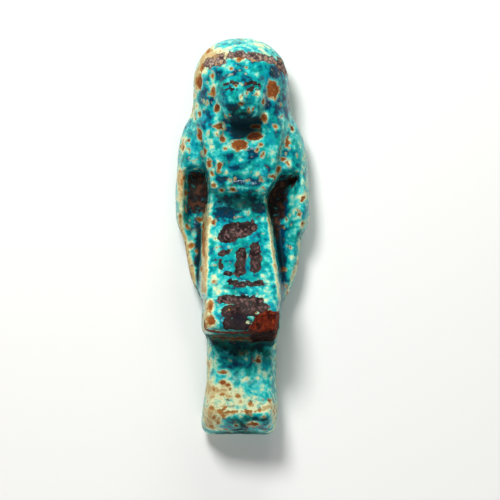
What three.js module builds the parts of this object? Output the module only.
// An overseer ushabti of glazed faience: a small funerary figure in a headcloth-like wig and a kilt
// whose apron juts out in front. It was pressed in an open mould, so the front is one relief with
// steep walls and no undercuts, and the back is flat. It is one solid piece, and it lies on its back.
//
// Units are millimetres. +Y runs towards the crown, +Z out of the front, and +X is on the right of
// someone who looks at the front. The origin is on the surface that the figure lies on, under the
// middle of its length and width.

import * as THREE from "three";
import { mergeVertices } from "three/addons/utils/BufferGeometryUtils.js";

const { clamp, lerp, smoothstep } = THREE.MathUtils;

// Driving sizes
const LENGTH = 90; // soles to crown
const WIDTH = 30.7; // across the elbows
const DEPTH = 24; // flat back to the hem of the apron

// The forms below are shares of those three sizes: a level is a share of the length above the soles,
// a place across is a share of half the width, and a height is a share of the depth above the back.

// The outline seen from the front: level, half width, sideways lean
const CROWN_STARTS = 0.879;
const CROWN_FULLNESS = 2.25; // 2 gives an ellipse, and more a squarer dome
const OUTLINE = [
  [0.0, 0.545, -0.067], // soles
  [0.045, 0.556, -0.055], // toes
  [0.088, 0.548, -0.035],
  [0.139, 0.52, -0.022], // shins
  [0.244, 0.516, -0.015], // under the hem
  [0.27, 0.575, -0.03], // hem of the apron
  [0.325, 0.581, -0.012],
  [0.343, 0.605, 0],
  [0.364, 0.689, 0], // foot of the kilt's sides
  [0.394, 0.77, 0],
  [0.432, 0.822, 0.002],
  [0.467, 0.852, 0.006],
  [0.497, 0.872, 0], // notch below the elbows
  [0.523, 0.956, 0],
  [0.545, 0.995, 0], // elbows
  [0.593, 1.0, 0],
  [0.669, 0.97, -0.006],
  [0.72, 0.941, -0.012], // shoulders
  [0.75, 0.904, -0.015],
  [0.773, 0.852, -0.02],
  [0.795, 0.778, -0.022],
  [0.818, 0.722, -0.026], // neck of the wig
  [0.845, 0.707, -0.03],
  [CROWN_STARTS, 0.707, -0.03],
  [1.0, 0.707, -0.03],
];

// How the skin turns at the outline: level, height of the widest line, how far the front and the
// back round over, both as shares of half the width
const EDGE = [
  [0.0, 0.17, 0.17, 0.15],
  [0.1, 0.18, 0.15, 0.16],
  [0.24, 0.19, 0.13, 0.17],
  [0.27, 0.2, 0.085, 0.18],
  [0.33, 0.2, 0.085, 0.2],
  [0.36, 0.2, 0.19, 0.22],
  [0.6, 0.21, 0.22, 0.22],
  [0.72, 0.22, 0.34, 0.26],
  [0.79, 0.27, 0.52, 0.38],
  [0.84, 0.32, 0.7, 0.46],
  [1.0, 0.33, 0.7, 0.5],
];
const SOLE_ROUND = 0.032; // length of the rounded end at the soles
const SOLE_CORNER = 0.15; // corner of the outline there
const CROWN_ROUND = 0.135; // length over which the crown rounds down

// The raised middle, from the wig's lappets to the apron's hem: level, left edge, right edge
const MIDDLE = [
  [0.262, -0.62, 0.56],
  [0.341, -0.585, 0.552],
  [0.404, -0.567, 0.504],
  [0.467, -0.551, 0.452],
  [0.518, -0.53, 0.407],
  [0.561, -0.508, 0.358],
  [0.601, -0.492, 0.322], // waist
  [0.619, -0.478, 0.37],
  [0.649, -0.492, 0.482], // ends of the lappets
  [0.679, -0.522, 0.498],
  [0.72, -0.56, 0.535],
  [0.763, -0.612, 0.605],
  [0.826, -0.735, 0.7],
];
const MIDDLE_WALL = 7; // rise over run of its flanks, the mould's draft
const MIDDLE_SAG = 0.03; // how much lower its edges lie than its middle

// Height down the middle of the front: level, height
const FRONT = [
  [0.0, 0.33],
  [0.018, 0.49],
  [0.038, 0.6],
  [0.058, 0.66], // tops of the toes
  [0.073, 0.645],
  [0.093, 0.57],
  [0.126, 0.495],
  [0.164, 0.46], // shins
  [0.222, 0.455],
  [0.233, 0.49],
  [0.256, 0.86],
  [0.263, 0.965],
  [0.272, 1.0], // hem
  [0.341, 0.905],
  [0.467, 0.7],
  [0.538, 0.575],
  [0.563, 0.518],
  [0.585, 0.488], // waist
  [0.601, 0.5],
  [0.611, 0.592],
  [0.621, 0.638],
  [0.634, 0.648],
  [0.646, 0.622], // groove under the lappets
  [0.659, 0.662],
  [0.707, 0.675], // chest
  [0.76, 0.68],
  [0.8, 0.7],
  [0.846, 0.76],
  [0.9, 0.785], // wig
  [1.0, 0.785],
];
const HEM_TILT = 0.018; // the hem runs lower on the right

// Height of what lies beside the middle: shoulders, arms and the kilt's sides
const SIDES = [
  [0.3, 0.37],
  [0.37, 0.395],
  [0.44, 0.41],
  [0.492, 0.405],
  [0.508, 0.385], // crease under the elbow
  [0.53, 0.455],
  [0.56, 0.49], // elbow
  [0.66, 0.515],
  [0.76, 0.525], // shoulder
  [0.83, 0.56],
];
const ELBOW_SLANT = 0.13; // the crease drops towards the kilt
const SLANT_STARTS = 0.4; // the kilt's sides have no such slant below this level
const SLANT_FULL = 0.5;

// The pits and grooves between the arms and the middle: level, height of the floor
const GROOVE_FLOOR = [
  [0.34, 0.385],
  [0.376, 0.34],
  [0.44, 0.295],
  [0.505, 0.27],
  [0.56, 0.225],
  [0.67, 0.225],
];
// Level, outer edge, and the rise over run from there out to the arm
const LEFT_GROOVE = {
  side: -1,
  top: 0.662,
  edge: [
    [0.345, 0.585, 1.6],
    [0.376, 0.635, 1.6],
    [0.427, 0.685, 1.6],
    [0.475, 0.735, 1.6],
    [0.53, 0.765, 1.8],
    [0.56, 0.8, 4.5],
    [0.59, 0.822, 6],
    [0.68, 0.805, 6],
  ],
};
const RIGHT_GROOVE = {
  side: 1,
  top: 0.65,
  edge: [
    [0.345, 0.57, 1.6],
    [0.376, 0.59, 1.6],
    [0.5, 0.59, 1.4],
    [0.585, 0.565, 1.4],
    [0.611, 0.607, 1.6],
    [0.629, 0.68, 2.4],
    [0.64, 0.76, 5],
    [0.66, 0.8, 6],
  ],
};
const PIT_WALL = 5; // rise over run of the wall that closes a pit at the top

// Face: an oval set in the opening of the wig. Places are shares as above.
const FACE = { level: 0.858, x: -0.015, halfWidth: 0.405, halfLength: 0.074, rim: 0.69, dome: 0.15 };
const FACE_STARTS = 0.76; // the jaw's wall ends above this level
const FACE_GROOVE = { width: 0.05, depth: 0.035 }; // between face and wig
const JAW_WALL = 2.5; // rise over run under the jaw
// Level, distance from the middle of the face, reach across, reach along, rise
const FEATURES = [
  [0.886, 0.2, 0.13, 0.008, 0.012], // brows
  [0.873, 0.17, 0.1, 0.009, -0.03], // sockets
  [0.872, 0.18, 0.075, 0.006, 0.02], // eyes
  [0.845, 0.24, 0.1, 0.016, 0.012], // cheeks
  [0.8, 0, 0.11, 0.011, 0.03], // chin
];
const NOSE = { top: 0.881, tip: 0.843, under: 0.008, topHalf: 0.045, tipHalf: 0.085, rise: 0.07 };
const LIPS = [
  [0.8265, 0, 0.105, 0.005, 0.028], // upper lip
  [0.8165, 0, 0.095, 0.0055, 0.026], // lower lip
  [0.8215, 0, 0.12, 0.0028, -0.02], // line of the mouth
];
const THROAT = { level: 0.772, halfWidth: 0.27, halfLength: 0.019, floor: 0.575, wall: 2 };
const THROAT_STARTS = 0.7; // its slope ends above this level

// The broken corner of the hem, a shallow scoop
const CHIP = { level: 0.257, x: 0.4, halfWidth: 0.31, halfLength: 0.06, depth: 0.13 };

// Rows of vertices along the figure: from level, to level, count
const BANDS = [
  [0.0, 0.075, 8],
  [0.075, 0.215, 6],
  [0.215, 0.28, 10],
  [0.28, 0.34, 4],
  [0.34, 0.55, 11],
  [0.55, 0.602, 5],
  [0.602, 0.662, 7],
  [0.662, 0.68, 3],
  [0.68, 0.77, 5],
  [0.77, 0.91, 16],
  [0.91, 1.0, 7],
];
// Columns of vertices across it, between one line of the relief and the next: outline, inner edge
// of the arm, foot and top of the middle's flank, side of the face, and the same again mirrored
const FRONT_COLUMNS = [6, 2, 3, 6, 13, 6, 3, 2, 6];
const BACK_COLUMNS = 8;
const FOOT_PASSES = 6; // rounds in which the foot of a flank is found
// How far a line keeps inside the rounding of the outline: share of that rounding, and the most
const EDGE_ROOM = { share: 0.75, most: 0.35 };
// Nearest and furthest that a line may lie, as shares of the way from the line before it to the outline
const FOOT_ROOM = { least: 0.15, most: 0.7 };
const ARM_ROOM = { least: 0.2, most: 0.7 };
// The line beside the face: clearance from the throat, furthest out, and how it returns to half way
const FACE_LINE = { clear: 0.06, most: 0.85, beyond: 1.5, fade: 0.3, elsewhere: 0.5 };
const BLEND = 0.6; // width over which neighbouring forms melt into each other, mm
const SAME_POINT = 1e-3; // vertices closer than this are one, mm

const halfWidth = WIDTH / 2;

// Value of a table at t, on a curve through its rows that never overshoots them.
function along(table, t, column = 1) {
  const last = table.length - 1;
  if (t <= table[0][0]) return table[0][column];
  if (t >= table[last][0]) return table[last][column];
  const i = table.findIndex((row) => row[0] > t) - 1;
  const slope = (k) => (table[k + 1][column] - table[k][column]) / (table[k + 1][0] - table[k][0]);
  const tangent = (k) => {
    if (k === 0 || k === last) return 0;
    const [before, after] = [slope(k - 1), slope(k)];
    return before * after <= 0 ? 0 : (2 * before * after) / (before + after);
  };
  const span = table[i + 1][0] - table[i][0];
  const u = (t - table[i][0]) / span;
  const h = u * u * (3 - 2 * u);
  return (
    lerp(table[i][column], table[i + 1][column], h) +
    span * u * (1 - u) * ((1 - u) * tangent(i) - u * tangent(i + 1))
  );
}

// The higher or the lower of two heights, with the corner between them rounded over BLEND.
function higher(a, b) {
  const mix = clamp(0.5 + (0.5 * (a - b)) / BLEND, 0, 1);
  return lerp(b, a, mix) + BLEND * mix * (1 - mix);
}
const lower = (a, b) => -higher(-a, -b);

// Quarter-round fall from 1, inside, to 0 at the outline, over the given share of the way.
function quarterRound(inset, reach, power = 2) {
  const t = clamp(1 - inset / reach, 0, 1);
  return (1 - t ** power) ** (1 / power);
}

// A soft hill of height 1, with the given reaches across and along.
const hill = (dx, dy, rx, ry) => Math.exp(-((dx / rx) ** 2) - (dy / ry) ** 2);

function outlineHalf(level) {
  let half = along(OUTLINE, level);
  if (level > CROWN_STARTS) {
    const t = (level - CROWN_STARTS) / (1 - CROWN_STARTS);
    half *= (1 - Math.min(1, t) ** CROWN_FULLNESS) ** (1 / CROWN_FULLNESS);
  }
  const corner = SOLE_CORNER * quarterRound((level * LENGTH) / halfWidth, SOLE_CORNER);
  if (level * LENGTH < SOLE_CORNER * halfWidth) half -= SOLE_CORNER - corner;
  return half * halfWidth;
}

const outlineCentre = (level) => along(OUTLINE, level, 2) * halfWidth;

// How far the relief has risen from the widest line at the two ends of the figure.
function endRise(level) {
  const crown = quarterRound(1 - level, CROWN_ROUND, CROWN_FULLNESS);
  return crown * quarterRound(level, SOLE_ROUND);
}

function groove(x, level, { side, top, edge }) {
  const out = side * x - along(edge, level) * halfWidth;
  const above = (level - top) * LENGTH;
  return (
    along(GROOVE_FLOOR, level) * DEPTH +
    Math.max(0, out) * along(edge, level, 2) +
    Math.max(0, above) * PIT_WALL
  );
}

function sides(x, level) {
  const reach = 1 - Math.abs(x) / halfWidth;
  const slant = ELBOW_SLANT * smoothstep(level, SLANT_STARTS, SLANT_FULL);
  let height = along(SIDES, level + slant * reach) * DEPTH;
  for (const side of [LEFT_GROOVE, RIGHT_GROOVE]) {
    if (side.side * x > 0) height = lower(height, groove(x, level, side));
  }
  return height;
}

function middle(x, level) {
  const left = along(MIDDLE, level) * halfWidth;
  const right = along(MIDDLE, level, 2) * halfWidth;
  const across = (2 * x - left - right) / (right - left);
  const tilted = level + (HEM_TILT * x) / halfWidth;
  let top = (along(FRONT, tilted) - MIDDLE_SAG * Math.min(1, across * across)) * DEPTH;
  const chipX = (x / halfWidth - CHIP.x) / CHIP.halfWidth;
  const chipY = (level - CHIP.level) / CHIP.halfLength;
  top -= CHIP.depth * DEPTH * Math.max(0, 1 - chipX ** 2 - chipY ** 2);
  if (level < MIDDLE[0][0] || level > CROWN_STARTS) return top;
  const outside = Math.max(0, left - x, x - right);
  return top - outside * MIDDLE_WALL;
}

function face(x, level, wig) {
  const dx = x / halfWidth - FACE.x;
  const oval = Math.hypot(dx / FACE.halfWidth, (level - FACE.level) / FACE.halfLength);
  const beyond = (oval - 1) * FACE.halfWidth;
  const height = wig - FACE_GROOVE.depth * DEPTH * hill(beyond, 0, FACE_GROOVE.width, 1);
  const rim = FACE.rim * DEPTH;
  if (oval >= 1) return higher(height, rim - beyond * halfWidth * JAW_WALL);
  let skin = FACE.dome * Math.sqrt(1 - oval * oval);
  for (const [at, aside, reachX, reachY, rise] of [...FEATURES, ...LIPS]) {
    for (const mirror of aside ? [-1, 1] : [1]) {
      skin += rise * hill(dx - mirror * aside, level - at, reachX, reachY);
    }
  }
  const down = clamp((NOSE.top - level) / (NOSE.top - NOSE.tip), 0, 1);
  const end = smoothstep(level, NOSE.tip - NOSE.under, NOSE.tip);
  skin += NOSE.rise * down * end * hill(dx, 0, lerp(NOSE.topHalf, NOSE.tipHalf, down), 1);
  return higher(height, rim + skin * DEPTH);
}

function throat(x, level) {
  const dx = Math.max(0, Math.abs(x) - THROAT.halfWidth * halfWidth);
  const dy = Math.max(0, Math.abs(level - THROAT.level) - THROAT.halfLength) * LENGTH;
  return THROAT.floor * DEPTH + Math.hypot(dx, dy) * THROAT.wall;
}

function frontHeight(x, level) {
  let height = middle(x, level);
  if (level > THROAT_STARTS) height = lower(height, throat(x, level));
  if (level > SIDES[0][0]) height = higher(height, sides(x, level));
  if (level > FACE_STARTS) height = face(x, level, height);
  return height;
}

// The lines that the columns follow on one side, as shares of the way from the middle of the row to
// the outline: side of the face, top and foot of the middle's flank, inner edge of the arm, outline.
function linesOnSide(level, side, { edge }) {
  const half = outlineHalf(level) || 1;
  const share = (x) => (side * (x - outlineCentre(level))) / half;
  const middleEdge = along(MIDDLE, level, side < 0 ? 1 : 2) * halfWidth;
  const turn = (along(EDGE, level, 2) * halfWidth) / half;
  const top = Math.min(share(middleEdge), 1 - Math.min(EDGE_ROOM.most, EDGE_ROOM.share * turn));
  let run = 0; // from the top of the flank out to its foot
  for (let pass = 0; pass < FOOT_PASSES; pass++) {
    const drop = middle(middleEdge, level) - sides(middleEdge + side * run, level);
    run = Math.max(0, drop) / MIDDLE_WALL;
  }
  const foot = clamp(top + run / half, lerp(top, 1, FOOT_ROOM.least), lerp(top, 1, FOOT_ROOM.most));
  const armEdge = share(side * along(edge, level) * halfWidth);
  const arm = clamp(armEdge, lerp(foot, 1, ARM_ROOM.least), lerp(foot, 1, ARM_ROOM.most));
  const offFace = (level - FACE.level) / FACE.halfLength;
  const rim = FACE.halfWidth * Math.sqrt(Math.max(0, 1 - offFace ** 2));
  const besideFace = Math.max(rim, THROAT.halfWidth + FACE_LINE.clear);
  const cheek = Math.min(share((FACE.x + side * besideFace) * halfWidth), top * FACE_LINE.most);
  const onFace = smoothstep(FACE_LINE.beyond - Math.abs(offFace), 0, FACE_LINE.fade);
  return [lerp(top * FACE_LINE.elsewhere, cheek, onFace), top, foot, arm, 1];
}

// Places of the vertices in a row of the front, each as a share from -1, left, to 1, right.
function frontShares(level) {
  const left = linesOnSide(level, -1, LEFT_GROOVE);
  const right = linesOnSide(level, 1, RIGHT_GROOVE);
  const lines = [...left.reverse().map((share) => -share), ...right];
  const shares = [lines[0]];
  FRONT_COLUMNS.forEach((count, k) => {
    for (let i = 1; i <= count; i++) {
      const turn = ((i / count) * Math.PI) / 2;
      let t = i / count;
      if (k === 0) t = 1 - Math.cos(turn); // columns crowd together at the outline
      if (k === FRONT_COLUMNS.length - 1) t = Math.sin(turn);
      shares.push(lerp(lines[k], lines[k + 1], t));
    }
  });
  return shares;
}

// One vertex of the skin: t runs from -1, at the left outline, to 1, at the right one.
function skinPoint(t, level, back) {
  const half = outlineHalf(level);
  const x = outlineCentre(level) + t * half;
  const inset = ((1 - Math.abs(t)) * half) / halfWidth;
  const widest = along(EDGE, level) * DEPTH;
  let z;
  if (back) {
    z = widest * (1 - quarterRound(inset, along(EDGE, level, 3)) * endRise(level));
  } else {
    const turn = quarterRound(inset, along(EDGE, level, 2)) * endRise(level);
    z = lerp(widest, frontHeight(x, level), turn);
  }
  return new THREE.Vector3(x, (level - 0.5) * LENGTH, z);
}

function rowLevels() {
  const levels = [0];
  for (const [from, to, count] of BANDS) {
    for (let k = 1; k <= count; k++) {
      const t = k / count;
      const eased = to === 1 ? Math.sin((t * Math.PI) / 2) : t; // rows crowd together at the crown
      levels.push(lerp(from, to, eased));
    }
  }
  return levels;
}

function backShares() {
  return Array.from({ length: BACK_COLUMNS + 1 }, (_, k) => Math.sin((k / BACK_COLUMNS - 0.5) * Math.PI));
}

// Triangles between two rows of vertices, which may differ in number.
function zip(a, b, triangles) {
  let [i, j] = [0, 0];
  while (i < a.length - 1 || j < b.length - 1) {
    const stepA = j === b.length - 1 || (i < a.length - 1 && (i + 1) / a.length <= (j + 1) / b.length);
    triangles.push([a[i], stepA ? a[i + 1] : b[j + 1], b[j]]);
    if (stepA) i += 1;
    else j += 1;
  }
}

function figureGeometry() {
  const levels = rowLevels();
  const triangles = [];
  const front = levels.map((level) => frontShares(level).map((t) => skinPoint(t, level, false)));
  const back = levels.map((level) => backShares().map((t) => skinPoint(t, level, true)));
  back[0] = front[0];
  for (let k = 1; k < levels.length; k++) {
    zip(front[k - 1], front[k], triangles);
    const backTriangles = [];
    zip(back[k - 1], back[k], backTriangles);
    triangles.push(...backTriangles.map(([a, b, c]) => [a, c, b]));
  }
  const apart = (a, b) => a.distanceTo(b) > SAME_POINT;
  const whole = triangles.filter(([a, b, c]) => apart(a, b) && apart(b, c) && apart(c, a));
  const geometry = new THREE.BufferGeometry().setFromPoints(whole.flat());
  const merged = mergeVertices(geometry, SAME_POINT);
  merged.computeVertexNormals();
  return merged;
}

const faience = new THREE.MeshStandardMaterial({ color: 0x2aa6a2, roughness: 0.38, metalness: 0 });

const ushabti = new THREE.Mesh(figureGeometry(), faience);
ushabti.name = "ushabti";

const figure = new THREE.Group();
figure.add(ushabti);

export default figure;
